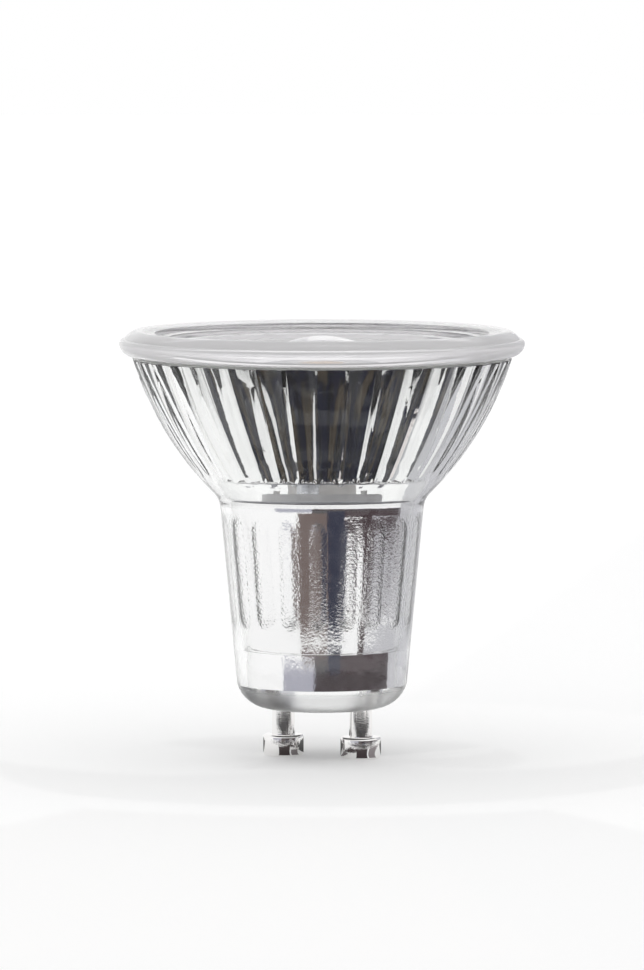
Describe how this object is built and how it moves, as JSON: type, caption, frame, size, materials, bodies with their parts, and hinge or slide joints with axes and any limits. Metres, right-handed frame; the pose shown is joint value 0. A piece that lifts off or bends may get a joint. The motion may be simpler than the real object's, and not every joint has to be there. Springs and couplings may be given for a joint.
{
  "type": "gu10 spotlight bulb",
  "caption": "Reflector spotlight bulb with a fluted clear glass body, a clear lens with a rolled rim and a twist-lock base of bright pins.",
  "frame": {"origin": "midway between the two contact pins, on the plane of their feet", "axes": "+Z along the bulb's axis from the pins to the lens; the pins stand along X"},
  "size_m": [0.05, 0.05, 0.0529],
  "materials": {
    "glass": "polished",
    "lens_plastic": "polished",
    "silicone": "matte",
    "bright_aluminium": "polished",
    "drawn_aluminium": "satin",
    "thermal_pad": "matte",
    "white_board": "matte",
    "ceramic": "matte",
    "phosphor": "satin",
    "zinc_screw": "satin",
    "liner_plastic": "matte",
    "nickel_pin": "bright",
    "green_board": "satin",
    "can_sleeve": "gloss",
    "film_case": "gloss",
    "fuse_body": "gloss",
    "ferrite": "matte",
    "copper_wire": "satin",
    "black_epoxy": "matte",
    "red_wire": "satin",
    "black_wire": "satin"
  },
  "bodies": {
    "root": {"glass_body": "glass", "front_lens": "lens_plastic", "lens_seal": "silicone", "reflector_bowl": "bright_aluminium", "heat_sink_sleeve": "drawn_aluminium", "thermal_pad": "thermal_pad", "led_board": "white_board", "led_emitter": "ceramic", "led_phosphor": "phosphor", "led_board_screws": "zinc_screw", "insulating_liner": "liner_plastic", "liner_cap": "liner_plastic", "pin_left": "nickel_pin", "pin_right": "nickel_pin", "washer_left": "nickel_pin", "washer_right": "nickel_pin", "pin_lead_left": "black_wire", "pin_lead_right": "black_wire", "led_lead_positive": "red_wire", "led_lead_negative": "black_wire", "driver_board": "green_board", "electrolytic_capacitor": "can_sleeve", "film_capacitor": "film_case", "fuse_resistor": "fuse_body", "choke_core": "ferrite", "choke_winding": "copper_wire", "bridge_rectifier": "black_epoxy", "driver_chip": "black_epoxy", "chip_resistors": "black_epoxy"}
  },
  "joints": []
}
